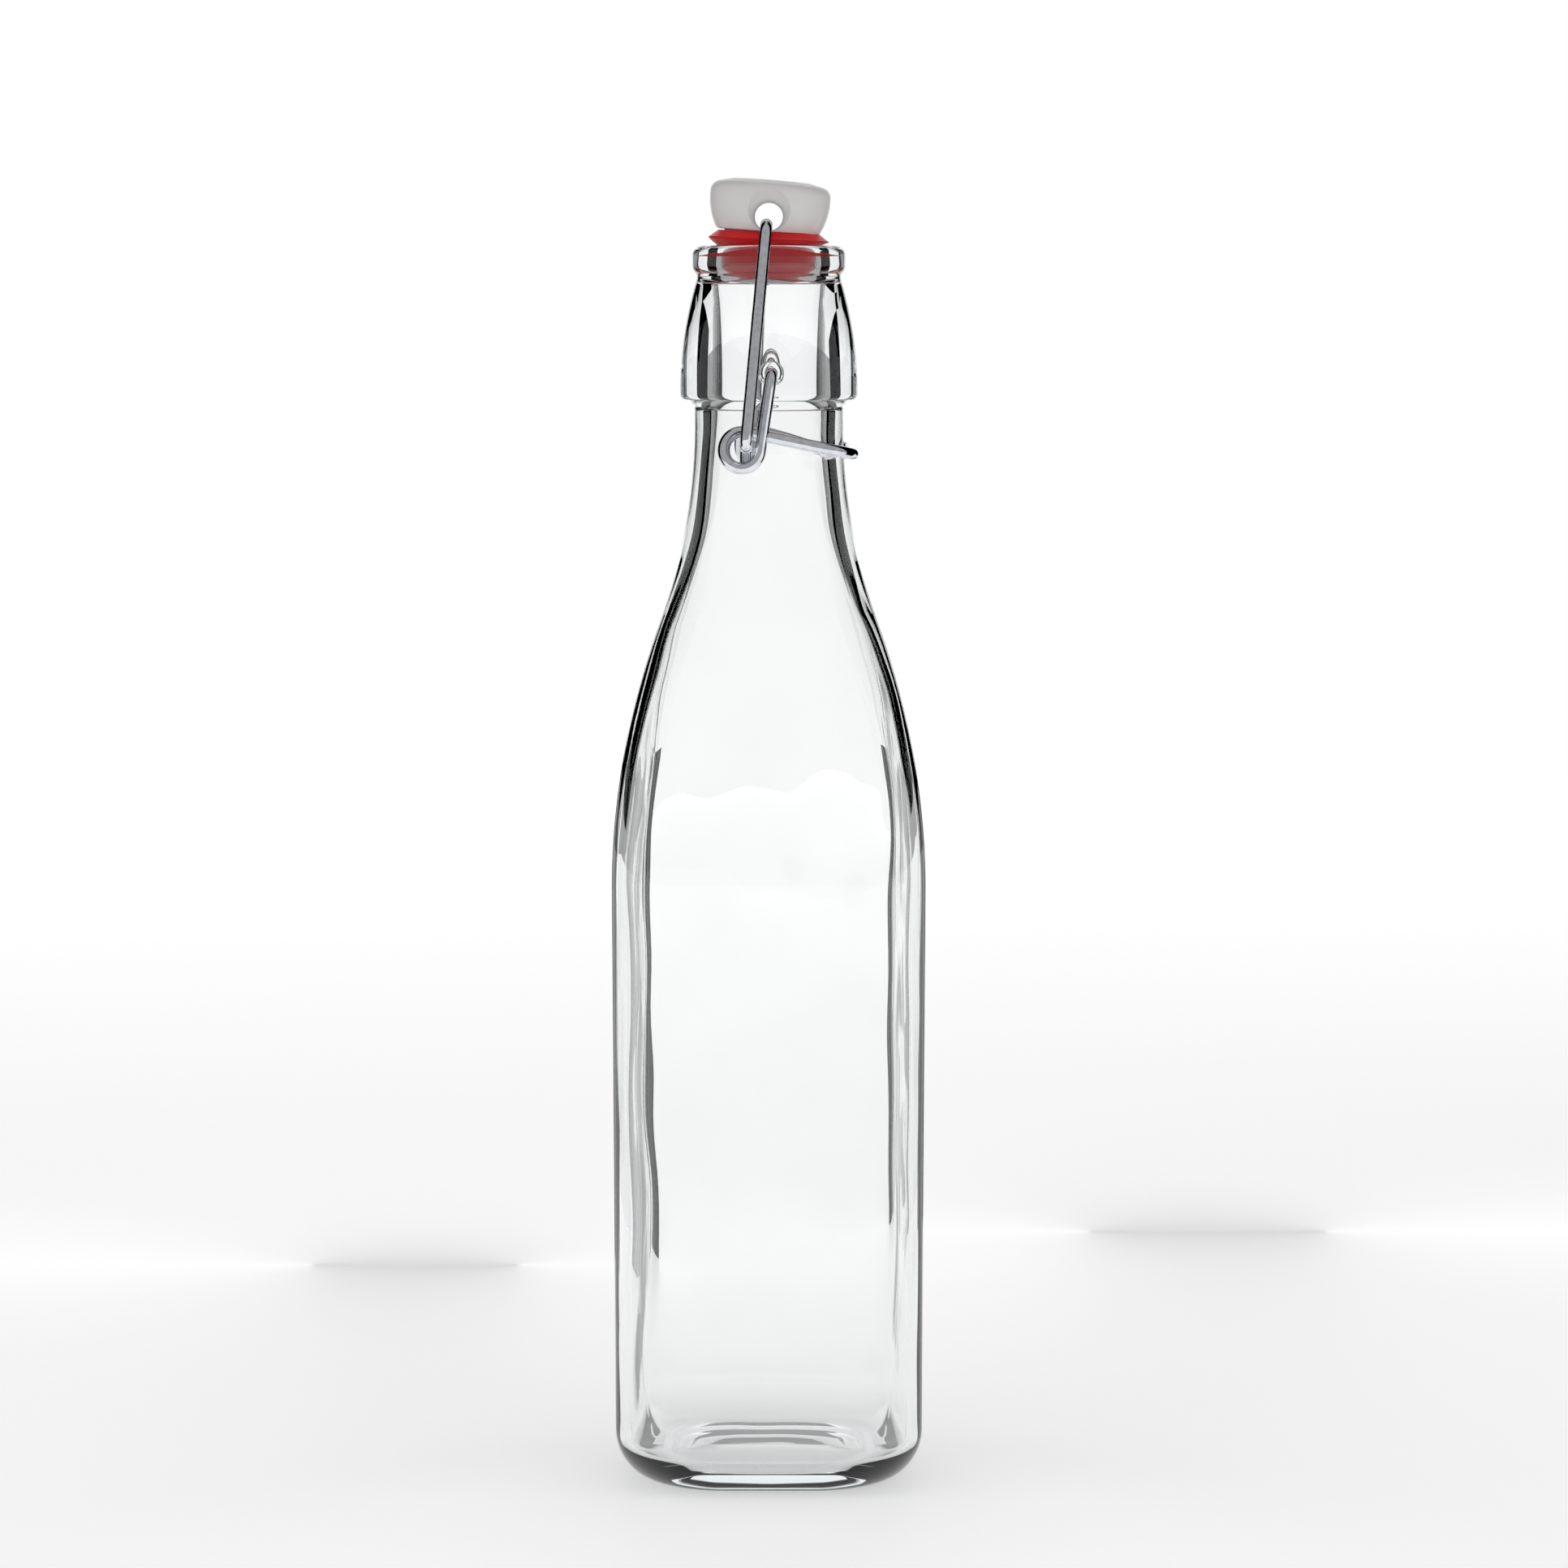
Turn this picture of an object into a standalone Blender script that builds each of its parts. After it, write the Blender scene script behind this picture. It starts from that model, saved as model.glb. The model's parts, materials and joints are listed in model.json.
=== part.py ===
"""Swing top bottle, half a litre: a square glass bottle with a wire bail closure.

Five pieces: the glass bottle, the white stopper, its rubber gasket, the bail wire
that pulls the stopper down, and the lever wire that locks the bail over centre.

Frame: millimetres in this file, scaled to metres when the meshes are made. The origin
is the centre of the base, +Z is up, +X points at the lever's front bar, and the
closure's three pivots run along Y.
"""

import bpy
import bmesh
import math
from mathutils import Matrix, Vector

MM = 0.001

# Bottle outside
BODY_HALF = 30.8            # half width across the flats, just below the shoulder
BASE_HALF = 30.4            # half width just above the heel
CORNER_R = 11.5             # corner radius of the square body in plan
HEEL_R = 8.8                # horizontal radius of the rounded heel
HEEL_H = 12.4               # height of the rounded heel
SHOULDER_Z = 119.4          # where the walls start to curve in
SHOULDER_R = 150.0          # convex arc of the shoulder
NECK_R = 14.7               # thinnest part of the neck
NECK_Z = 210.4              # height of that thinnest part
ROUND_Z = 190.0             # above this height the plan is a circle
SQUARE_Z = 134.0            # below this height the plan is the full square
COLLAR_R = 17.6             # widest part of the collar
COLLAR_Z = 216.3
BARREL_R = 75.0             # arc of the barrel between collar and lip
LIP_Z = 245.3               # top of the glass
LIP_R = 15.15               # outside of the rounded lip
LIP_TOP_R = 2.0             # rounding of the lip's upper edge
LIP_UNDER_R = 2.2           # rounding of its lower edge
LIP_UNDER_DROP = 3.8        # how far the lower rounding's centre lies below the top

# Bottle inside
BORE_R = 9.5                # at the mouth
NECK_IN_R = 11.2
INNER_HALF = 28.2
INNER_CORNER_R = 9.0
FLOOR_Z = 5.0               # glass thickness under the floor at its edge
FLOOR_ROUND = 6.0           # radius where the inner wall meets the floor
INNER_SHOULDER_Z = 119.4
INNER_SHOULDER_R = 147.4
PUNT_H = 2.2                # depth of the hollow under the base
BEARING_WIDTH = 2.4         # flat ring that the bottle stands on

# Closure
WIRE_R = 1.2
GAP = 0.3                   # smallest gap between neighbouring pieces
PIVOT = Vector((0.56, 0.0, 220.5))          # lever ends, in the collar's dimples
EYE = Vector((-5.19, 0.0, 205.6))           # centre of the lever's eye loops
BAIL_END = Vector((-4.65, 0.0, 206.1))      # bail hooks, inside the eyes
SWIVEL = Vector((-0.42, 0.0, 249.1))        # bail's top bar, inside the stopper
FRONT_BAR = Vector((16.5, 0.0, 204.7))      # lever's front bar, beside the neck
EYE_R = 3.5                 # centreline radius of an eye loop
DIMPLE_R = 2.3
DIMPLE_DEPTH = 3.5
LEVER_PLANE = 20.0          # distance of the lever's legs from the middle
ARM_PLANE = 17.2            # distance of its handle arms, which pass inside the legs
BAIL_PLANE = 22.8           # distance of the bail's legs
TIP_PLANE = 16.65           # distance of the bail's short retaining tips
TIP_DROP = 3.5              # how far the tips hang below the bail's hooks
BAIL_TOP_PLANE = 16.8       # where the legs bend over the lip into the stopper
BAIL_SPLAY_START = 24.0     # length of the bail's leg that stays at BAIL_PLANE

# Stopper and gasket, heights counted from the swivel
HEAD_BOTTOM = -1.1
HEAD_BOTTOM_R = 10.1
BOSS_R = 8.6                # step under the head that carries the hole's lower edge
BOSS_BOTTOM = -1.95
HEAD_R = 11.9
HEAD_WIDEST = 5.6
HEAD_TOP = 9.25
HOLE_R = 2.8
HOLE_MIDDLE = Vector((0.28, 0.0, 1.3))
STEM_R = 4.3
FLANGE_R = 6.3
FLANGE_TOP = -8.6
FLANGE_BOTTOM = -10.7
STOPPER_TILT = 4.5          # degrees, clockwise seen from the front
GASKET_TILT = 2.8
GASKET_MIDDLE = Vector((-0.1, 0.0, 245.6))

QUADRANT_STEPS = 12         # points per quarter turn of the bottle
PARTS_NAME = "swing_top_bottle"


def start_scene():
    """Remove what a new scene holds and make the two collections."""
    for item in list(bpy.data.objects):
        bpy.data.objects.remove(item, do_unlink=True)
    parts = bpy.data.collections.new(PARTS_NAME)
    cutters = bpy.data.collections.new("cutters")
    for collection in (parts, cutters):
        bpy.context.scene.collection.children.link(collection)
    return parts, cutters


def make_material(name, colour, roughness, metallic=0.0, transmission=0.0):
    material = bpy.data.materials.new(name)
    material.use_nodes = True
    shader = material.node_tree.nodes["Principled BSDF"]
    shader.inputs["Base Color"].default_value = (*colour, 1.0)
    shader.inputs["Roughness"].default_value = roughness
    shader.inputs["Metallic"].default_value = metallic
    shader.inputs["Transmission Weight"].default_value = transmission
    return material


def arc(middle_r, middle_z, radius, start_deg, end_deg, steps):
    """Points (r, z) of an arc, both ends included; 0 degrees points outward."""
    points = []
    for step in range(steps + 1):
        angle = math.radians(start_deg + (end_deg - start_deg) * step / steps)
        points.append((middle_r + radius * math.cos(angle),
                       middle_z + radius * math.sin(angle)))
    return points


def smooth_step(value, low, high):
    t = min(max((value - low) / (high - low), 0.0), 1.0)
    return t * t * (3.0 - 2.0 * t)


# ---------------------------------------------------------------- the bottle

def shoulder_arcs(wall, start_z, convex_r, neck_r, neck_z, steps):
    """The S curve from wall to neck: a convex arc running into a tangent concave one.

    The concave radius follows from the other sizes, so that the arcs meet smoothly.
    """
    run = neck_r + convex_r - wall
    rise = neck_z - start_z
    concave_r = (convex_r ** 2 - run ** 2 - rise ** 2) / (2.0 * (run - convex_r))
    slope = math.degrees(math.asin(rise / (convex_r + concave_r)))
    convex = arc(wall - convex_r, start_z, convex_r, 0.0, slope, steps)
    concave = arc(neck_r + concave_r, neck_z, concave_r, 180.0 + slope, 180.0, steps)
    return convex + concave[1:]


def outer_profile():
    """Half width and height from the heel up to the top of the lip."""
    points = []
    heel_steps = 8
    for step in range(heel_steps + 1):
        angle = math.radians(90.0 * step / heel_steps)
        points.append((BASE_HALF - HEEL_R + HEEL_R * math.sin(angle),
                       HEEL_H - HEEL_H * math.cos(angle)))
    wall_steps = 4
    for step in range(1, wall_steps):
        share = step / wall_steps
        points.append((BASE_HALF + (BODY_HALF - BASE_HALF) * share ** 1.5,
                       HEEL_H + (SHOULDER_Z - HEEL_H) * share))
    points += shoulder_arcs(BODY_HALF, SHOULDER_Z, SHOULDER_R, NECK_R, NECK_Z, 9)
    points += arc(NECK_R + 3.0, COLLAR_Z - 3.6, 3.0, 180.0, 126.0, 3)
    points += arc(COLLAR_R - 1.6, COLLAR_Z, 1.6, -50.0, 0.0, 3)
    barrel_top = LIP_Z - 6.4
    for step in range(1, 6):
        height = COLLAR_Z + (barrel_top - COLLAR_Z) * step / 5.0
        points.append((COLLAR_R - (height - COLLAR_Z) ** 2 / (2.0 * BARREL_R), height))
    points += arc(LIP_R - LIP_UNDER_R, LIP_Z - LIP_UNDER_DROP, LIP_UNDER_R, -52.0, 0.0, 3)
    points += arc(LIP_R - LIP_TOP_R, LIP_Z - LIP_TOP_R, LIP_TOP_R, 0.0, 90.0, 5)
    return points


def inner_profile():
    """Half width and height from the lip down to the edge of the floor."""
    points = [(BORE_R + 1.6, LIP_Z - 0.4), (BORE_R + 0.5, LIP_Z - 1.4)]
    points += [(BORE_R, LIP_Z - 3.0), (BORE_R, LIP_Z - 5.5)]
    points += [(NECK_IN_R, LIP_Z - 8.5)]
    shoulder = shoulder_arcs(INNER_HALF, INNER_SHOULDER_Z, INNER_SHOULDER_R,
                             NECK_IN_R, NECK_Z, 8)
    points += reversed(shoulder)
    points += [(INNER_HALF - 0.3, 66.0)]
    points += arc(INNER_HALF - 0.7 - FLOOR_ROUND, FLOOR_Z + FLOOR_ROUND, FLOOR_ROUND,
                  0.0, -90.0, 6)
    return points


def corner_radius(half, height, square_radius):
    """Plan corner radius: the full square below, a circle in the neck and at the heel."""
    up = smooth_step(height, SQUARE_Z, ROUND_Z)
    down = 0.25 * (1.0 - smooth_step(height, 0.0, HEEL_H))
    share = max(up, down)
    return half * share + min(square_radius, half) * (1.0 - share)


def plan_points(half, radius, roundness):
    """One ring of a rounded square as (x, y), by casting rays from its middle."""
    ring = []
    count = 4 * QUADRANT_STEPS
    power = 1.6 - 0.6 * roundness       # crowds the points into the corners
    for index in range(count):
        side, step = divmod(index, QUADRANT_STEPS)
        offset = 2.0 * step / QUADRANT_STEPS - 1.0
        angle = math.copysign(abs(offset) ** power, offset) * math.pi / 4.0
        local = angle + math.pi / 4.0
        cosine, sine = math.cos(local), math.sin(local)
        inset = half - radius
        along = min(half / max(cosine, 1e-9), half / max(sine, 1e-9))
        if along * cosine > inset and along * sine > inset:
            middle = inset * (cosine + sine)
            along = middle + math.sqrt(middle ** 2 - 2.0 * inset ** 2 + radius ** 2)
        turn = side * math.pi / 2.0
        ring.append((along * math.cos(local + turn), along * math.sin(local + turn)))
    return ring


def add_ring(mesh, half, height, square_radius):
    radius = corner_radius(half, height, square_radius)
    roundness = radius / half
    return [mesh.verts.new((x * MM, y * MM, height * MM))
            for x, y in plan_points(half, radius, roundness)]


def bridge(mesh, lower, upper):
    count = len(lower)
    for index in range(count):
        after = (index + 1) % count
        mesh.faces.new((lower[index], lower[after], upper[after], upper[index]))


def make_bottle(parts, cutters, material):
    """Loft the square body into the round neck, outside and inside, as one wall."""
    bearing_outer = BASE_HALF - HEEL_R
    bearing_inner = bearing_outer - BEARING_WIDTH
    profile = [(bearing_inner * 0.5, PUNT_H * 0.8, CORNER_R), (bearing_inner, 0.0, CORNER_R)]
    profile += [(half, height, CORNER_R) for half, height in outer_profile()]
    profile += [(half, height, INNER_CORNER_R) for half, height in inner_profile()]
    profile += [(INNER_HALF * 0.35, FLOOR_Z + 0.6, INNER_CORNER_R)]

    mesh = bmesh.new()
    rings = [add_ring(mesh, *station) for station in profile]
    for lower, upper in zip(rings, rings[1:]):
        bridge(mesh, lower, upper)
    under = mesh.verts.new((0.0, 0.0, PUNT_H * MM))
    floor = mesh.verts.new((0.0, 0.0, (FLOOR_Z + 0.8) * MM))
    for middle, ring in ((under, rings[0]), (floor, rings[-1])):
        for index, vertex in enumerate(ring):
            mesh.faces.new((middle, vertex, ring[(index + 1) % len(ring)]))
    bmesh.ops.recalc_face_normals(mesh, faces=mesh.faces)
    data = bpy.data.meshes.new("glass_bottle")
    mesh.to_mesh(data)
    mesh.free()
    data.shade_smooth()
    data.set_sharp_from_angle(angle=math.radians(40.0))

    bottle = bpy.data.objects.new("glass_bottle", data)
    parts.objects.link(bottle)
    data.materials.append(material)
    for side in (-1.0, 1.0):
        cutter = make_dimple_cutter(cutters, side)
        cut = bottle.modifiers.new("dimple", "BOOLEAN")
        cut.operation = "DIFFERENCE"
        cut.object = cutter
    return bottle


def make_dimple_cutter(cutters, side):
    """The blind hole that one end of the lever wire turns in."""
    depth = DIMPLE_DEPTH + 4.0
    surface = COLLAR_R - (PIVOT.z - COLLAR_Z) ** 2 / (2.0 * BARREL_R)
    mesh = bmesh.new()
    bmesh.ops.create_cone(mesh, cap_ends=True, segments=20, radius1=DIMPLE_R * MM,
                          radius2=DIMPLE_R * MM, depth=depth * MM)
    return add_cutter(cutters, mesh, "dimple_cutter",
                      Vector((PIVOT.x, side * (surface - DIMPLE_DEPTH + depth / 2.0), PIVOT.z)))


def add_cutter(cutters, mesh, name, place):
    """Link a cylinder that runs along Y as a hidden cutter."""
    data = bpy.data.meshes.new(name)
    mesh.to_mesh(data)
    mesh.free()
    cutter = bpy.data.objects.new(name, data)
    cutter.location = place * MM
    cutter.rotation_euler = (math.radians(90.0), 0.0, 0.0)
    cutter.hide_render = True
    cutter.display_type = "WIRE"
    cutters.objects.link(cutter)
    return cutter


# ---------------------------------------------------------- turned pieces

def make_turned(parts, name, profile, material, steps=40):
    """A closed profile (r, z), listed down its outer side, turned about Z."""
    data = bpy.data.meshes.new(name)
    points = [(r * MM, 0.0, z * MM) for r, z in profile]
    edges = [(index, index + 1) for index in range(len(points) - 1)]
    if profile[0][0] > 0.0:
        edges.append((len(points) - 1, 0))
    data.from_pydata(points, edges, [])
    data.materials.append(material)
    piece = bpy.data.objects.new(name, data)
    parts.objects.link(piece)
    screw = piece.modifiers.new("turn", "SCREW")
    screw.axis = "Z"
    screw.steps = steps
    screw.render_steps = steps
    screw.use_merge_vertices = True
    screw.merge_threshold = 0.00001
    screw.use_smooth_shade = True
    return piece


def stopper_profile():
    """Domed head, flank swelling to its widest, stem and retaining flange."""
    flank_r = ((HEAD_WIDEST - HEAD_BOTTOM) ** 2 + (HEAD_R - HEAD_BOTTOM_R) ** 2) \
        / (2.0 * (HEAD_R - HEAD_BOTTOM_R))
    lean = math.degrees(math.asin((HEAD_WIDEST - HEAD_BOTTOM) / flank_r))
    points = [(0.0, HEAD_TOP), (5.0, HEAD_TOP - 0.1)]
    points += arc(HEAD_R - 2.2, HEAD_WIDEST + 0.6, 2.2, 82.0, 10.0, 4)
    points += arc(HEAD_R - flank_r, HEAD_WIDEST, flank_r, 0.0, -lean, 5)
    points += [(BOSS_R, HEAD_BOTTOM), (BOSS_R, BOSS_BOTTOM), (STEM_R, BOSS_BOTTOM)]
    points += [(STEM_R, FLANGE_TOP), (FLANGE_R, FLANGE_TOP)]
    points += [(FLANGE_R, FLANGE_TOP - 0.7), (FLANGE_R - 1.4, FLANGE_BOTTOM), (0.0, FLANGE_BOTTOM)]
    return points


def make_stopper(parts, cutters, material):
    piece = make_turned(parts, "stopper", stopper_profile(), material)
    tilt = Matrix.Rotation(math.radians(STOPPER_TILT), 4, "Y")
    axis_shift = Vector((HOLE_MIDDLE.x, 0.0, 0.0))
    piece.location = (SWIVEL + tilt.to_3x3() @ axis_shift) * MM
    piece.rotation_euler = (0.0, math.radians(STOPPER_TILT), 0.0)

    mesh = bmesh.new()
    bmesh.ops.create_cone(mesh, cap_ends=True, segments=24, radius1=HOLE_R * MM,
                          radius2=HOLE_R * MM, depth=40.0 * MM)
    place = SWIVEL + tilt.to_3x3() @ HOLE_MIDDLE
    cutter = add_cutter(cutters, mesh, "hole_cutter", place)
    cut = piece.modifiers.new("hole", "BOOLEAN")
    cut.operation = "DIFFERENCE"
    cut.object = cutter
    return piece


def gasket_profile():
    """Bevelled rim over the mouth, and a plug that tapers into the bore.

    The clearances are wider than GAP, because the stopper leans more than the gasket.
    """
    stopper_step = SWIVEL.z - GASKET_MIDDLE.z + BOSS_BOTTOM
    top = SWIVEL.z - GASKET_MIDDLE.z + HEAD_BOTTOM - 2.0 * GAP
    recess = stopper_step - 2.0 * GAP
    bottom = SWIVEL.z - GASKET_MIDDLE.z + FLANGE_TOP + 2.0 * GAP
    hole = STEM_R + 3.0 * GAP
    recess_r = BOSS_R + 2.0 * GAP
    plug = BORE_R - 0.75
    return [(hole, recess), (recess_r, recess), (recess_r, top), (10.2, top), (12.0, top - 0.8),
            (10.8, top - 1.25), (plug, -2.4), (plug - 0.2, -4.0), (plug - 2.6, bottom),
            (hole, bottom)]


def make_gasket(parts, material):
    piece = make_turned(parts, "gasket", gasket_profile(), material)
    piece.location = GASKET_MIDDLE * MM
    piece.rotation_euler = (0.0, math.radians(GASKET_TILT), 0.0)
    return piece


# ---------------------------------------------------------- wires

def round_corners(points, radii, degrees_per_step=18.0):
    """Replace each inner corner of a polyline with an arc of the matching radius."""
    path = [points[0]]
    for before, corner, after, radius in zip(points, points[1:], points[2:], radii):
        into = (corner - before).normalized()
        out = (after - corner).normalized()
        turn = into.angle(out)
        if radius <= 0.0 or turn < 0.01:
            path.append(corner)
            continue
        start = corner - into * (radius * math.tan(turn / 2.0))
        inward = (out - into * into.dot(out)).normalized()
        steps = max(2, round(math.degrees(turn) / degrees_per_step))
        for step in range(steps + 1):
            angle = turn * step / steps
            path.append(start + into * (radius * math.sin(angle))
                        + inward * (radius * (1.0 - math.cos(angle))))
    path.append(points[-1])
    return path


def mirrored(half_path):
    """A symmetric wire from its half at -Y, which ends on the plane Y = 0."""
    other = [Vector((p.x, -p.y, p.z)) for p in reversed(half_path[:-1])]
    return half_path + other


def make_wire(parts, name, path, material):
    curve = bpy.data.curves.new(name, "CURVE")
    curve.dimensions = "3D"
    curve.bevel_depth = WIRE_R * MM
    curve.bevel_resolution = 2
    curve.use_fill_caps = True
    spline = curve.splines.new("POLY")
    spline.points.add(len(path) - 1)
    for point, place in zip(spline.points, path):
        point.co = (*(place * MM), 1.0)
        point.radius = 1.0
    curve.materials.append(material)
    wire = bpy.data.objects.new(name, curve)
    parts.objects.link(wire)
    return wire


def bail_path():
    """Retaining tip, hook through the eye, leg, and half of the top bar."""
    rise = SWIVEL - BAIL_END
    along = rise.normalized()

    def on_leg(length, plane):
        return BAIL_END + along * length + Vector((0.0, -plane, 0.0))

    tip = Vector((BAIL_END.x, -TIP_PLANE, BAIL_END.z - TIP_DROP))
    hook = [Vector((BAIL_END.x, -TIP_PLANE, BAIL_END.z)), on_leg(0.0, BAIL_PLANE)]
    leg = [on_leg(BAIL_SPLAY_START, BAIL_PLANE), on_leg(rise.length - 3.5, BAIL_TOP_PLANE + 1.0)]
    top = [Vector((SWIVEL.x, -BAIL_TOP_PLANE, SWIVEL.z)), Vector((SWIVEL.x, 0.0, SWIVEL.z))]
    return round_corners([tip] + hook + leg + top, [1.5, 1.5, 12.0, 2.0, 2.4])


def tangent_angle(target, side):
    """Angle on the eye's circle where a line from target touches it."""
    reach = Vector((target.x - EYE.x, target.z - EYE.z))
    return math.atan2(reach.y, reach.x) + side * math.acos(EYE_R / reach.length)


def lever_path():
    """End in the dimple, leg, eye loop, handle arm, and half of the front bar.

    The loop runs clockwise from the leg, under and over the bail's hook, and winds
    inward on the way, so that the arm passes behind the leg.
    """
    start = tangent_angle(PIVOT, -1.0)
    finish = tangent_angle(FRONT_BAR, 1.0) - 2.0 * math.pi
    if start < finish:
        start += 2.0 * math.pi
    loop = []
    steps = 20
    for step in range(steps + 1):
        share = step / steps
        angle = start + (finish - start) * share
        plane = LEVER_PLANE + (ARM_PLANE - LEVER_PLANE) * smooth_step(share, 0.4, 0.97)
        loop.append(Vector((EYE.x + EYE_R * math.cos(angle), -plane,
                            EYE.z + EYE_R * math.sin(angle))))
    end = [Vector((PIVOT.x, -(COLLAR_R - DIMPLE_DEPTH + 0.5), PIVOT.z)),
           Vector((PIVOT.x, -LEVER_PLANE, PIVOT.z)), loop[0]]
    arm = [loop[-1], Vector((FRONT_BAR.x, -ARM_PLANE, FRONT_BAR.z)), FRONT_BAR]
    return round_corners(end, [1.8])[:-1] + loop + round_corners(arm, [6.0])[1:]


def main():
    parts, cutters = start_scene()
    glass = make_material("clear_glass", (0.95, 0.97, 0.97), 0.02, transmission=1.0)
    steel = make_material("galvanised_steel", (0.62, 0.63, 0.65), 0.38, metallic=1.0)
    rubber = make_material("red_rubber", (0.55, 0.01, 0.02), 0.45)
    plastic = make_material("white_plastic", (0.82, 0.80, 0.79), 0.30)

    make_bottle(parts, cutters, glass)
    make_stopper(parts, cutters, plastic)
    make_gasket(parts, rubber)
    make_wire(parts, "bail_wire", mirrored(bail_path()), steel)
    make_wire(parts, "lever_wire", mirrored(lever_path()), steel)


main()
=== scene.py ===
"""Looks of the swing top bottle: fine glass, moulded stopper, rubber gasket, zinc wires.

Lengths are millimetres in the frame's own axes, and MM turns them into metres. The
origin is the centre of the base, +X points at the lever's front bar and the closure's
pivots run along Y.
"""

import json
import math

import bmesh
import bpy
import numpy as np
from mathutils import Matrix, Vector, noise


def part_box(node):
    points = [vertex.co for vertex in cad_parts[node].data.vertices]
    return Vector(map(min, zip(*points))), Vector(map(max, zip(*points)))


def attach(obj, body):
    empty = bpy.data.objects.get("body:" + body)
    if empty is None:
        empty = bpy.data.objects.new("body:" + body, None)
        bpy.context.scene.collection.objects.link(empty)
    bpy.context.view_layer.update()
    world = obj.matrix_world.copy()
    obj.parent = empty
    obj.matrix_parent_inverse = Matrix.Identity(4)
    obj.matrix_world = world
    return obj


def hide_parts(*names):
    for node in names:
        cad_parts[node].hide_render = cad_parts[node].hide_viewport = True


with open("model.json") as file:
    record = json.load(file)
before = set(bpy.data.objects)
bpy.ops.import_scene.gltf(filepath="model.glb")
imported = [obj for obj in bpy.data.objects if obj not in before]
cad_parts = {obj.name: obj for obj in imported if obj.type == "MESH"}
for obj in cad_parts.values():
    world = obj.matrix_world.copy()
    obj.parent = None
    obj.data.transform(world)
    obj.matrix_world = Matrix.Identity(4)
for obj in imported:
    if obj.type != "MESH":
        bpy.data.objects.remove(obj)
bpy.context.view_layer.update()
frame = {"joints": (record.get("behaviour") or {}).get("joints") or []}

MM = 0.001

# Places that come from the frame
PIVOTS = {joint["name"]: Vector(joint["pos_m"]) / MM for joint in frame["joints"]}
LEVER_PIVOT = PIVOTS["lever_pivot"]
SWIVEL = PIVOTS["stopper_swivel"]
BOTTLE_LOW, BOTTLE_HIGH = (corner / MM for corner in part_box("glass_bottle"))

# Bottle outside
BODY_HALF = BOTTLE_HIGH.x
BASE_HALF = 30.4
CORNER_R = 11.5
HEEL_R = 8.8
HEEL_H = 12.4
SHOULDER_Z = 119.4
SHOULDER_R = 150.0
NECK_R = 14.7
NECK_Z = 210.4
ROUND_Z = 190.0
SQUARE_Z = 134.0
COLLAR_R = 17.6
COLLAR_Z = 216.3
BARREL_R = 75.0
LIP_Z = BOTTLE_HIGH.z
LIP_R = 15.15               # outside of the rounded lip
LIP_TOP_R = 2.0             # rounding of the lip's upper edge
LIP_UNDER_R = 2.2           # rounding of its lower edge
LIP_UNDER_DROP = 3.8        # how far the lower rounding's centre lies below the top

# Bottle inside
BORE_R = 9.5
NECK_IN_R = 11.2
INNER_HALF = 28.2
INNER_CORNER_R = 9.0
FLOOR_Z = 5.0
FLOOR_ROUND = 6.0
INNER_SHOULDER_Z = 119.4
INNER_SHOULDER_R = 147.4
PUNT_H = 2.2
BEARING_WIDTH = 2.4
INNER_WAVE = 0.36           # unevenness of the inner wall, as blown glass has

# Closure
WIRE_R = 1.2
EYE = Vector((-5.19, 0.0, 205.6))
HOOK = Vector((-4.40, 0.0, 206.4))
FRONT_BAR = Vector((16.5, 0.0, 204.7))
EYE_R = 3.5
DIMPLE_R = 2.3
DIMPLE_DEPTH = 3.5
LEVER_PLANE = 20.0
ARM_PLANE = 17.2
BAIL_PLANE = 22.8
TIP_PLANE = 16.65
TIP_DROP = 3.5
BAIL_TOP_PLANE = 16.8
BAIL_SPLAY_START = 24.0
BAR_BOW = 0.45              # rise of the bail's bar where it passes through the stopper

# Stopper and gasket, heights counted from the swivel
HEAD_BOTTOM = -1.1
HEAD_BOTTOM_R = 10.1
BOSS_R = 8.6
BOSS_BOTTOM = -1.95
HEAD_R = 11.9
HEAD_WIDEST = 5.6
HEAD_TOP = 9.12
HOLE_R = 2.8
HOLE_MIDDLE = Vector((0.28, 0.0, 1.9))
STEM_R = 4.3
FLANGE_R = 6.3
FLANGE_TOP = -8.6
FLANGE_BOTTOM = -10.7
STOPPER_TILT = 4.5
GASKET_TILT = 2.8
GASKET_R = 11.9

RING_POINTS = 240           # points round the bottle
TURN_POINTS = 128           # points round a turned piece
WIRE_SIDES = 20


# ------------------------------------------------------------ small helpers

def arc(middle_r, middle_z, radius, start_deg, end_deg, steps):
    """Points (r, z) of an arc, both ends included; 0 degrees points outward."""
    points = []
    for step in range(steps + 1):
        angle = math.radians(start_deg + (end_deg - start_deg) * step / steps)
        points.append((middle_r + radius * math.cos(angle),
                       middle_z + radius * math.sin(angle)))
    return points


def line(start, end, steps):
    """Points after start up to end, evenly spaced."""
    return [tuple(a + (b - a) * step / steps for a, b in zip(start, end))
            for step in range(1, steps + 1)]


def smooth_step(value, low, high):
    t = min(max((value - low) / (high - low), 0.0), 1.0)
    return t * t * (3.0 - 2.0 * t)


def new_piece(name, data, body, replaced, material):
    piece = bpy.data.objects.new(name, data)
    bpy.context.scene.collection.objects.link(piece)
    data.materials.append(material)
    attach(piece, body)
    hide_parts(replaced)
    return piece


def mesh_from(name, points, faces, sharp_deg=35.0):
    data = bpy.data.meshes.new(name)
    data.from_pydata([tuple(c * MM for c in p) for p in points], [], faces)
    mesh = bmesh.new()
    mesh.from_mesh(data)
    bmesh.ops.recalc_face_normals(mesh, faces=mesh.faces)
    mesh.to_mesh(data)
    mesh.free()
    data.shade_smooth()
    data.set_sharp_from_angle(angle=math.radians(sharp_deg))
    return data


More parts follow.
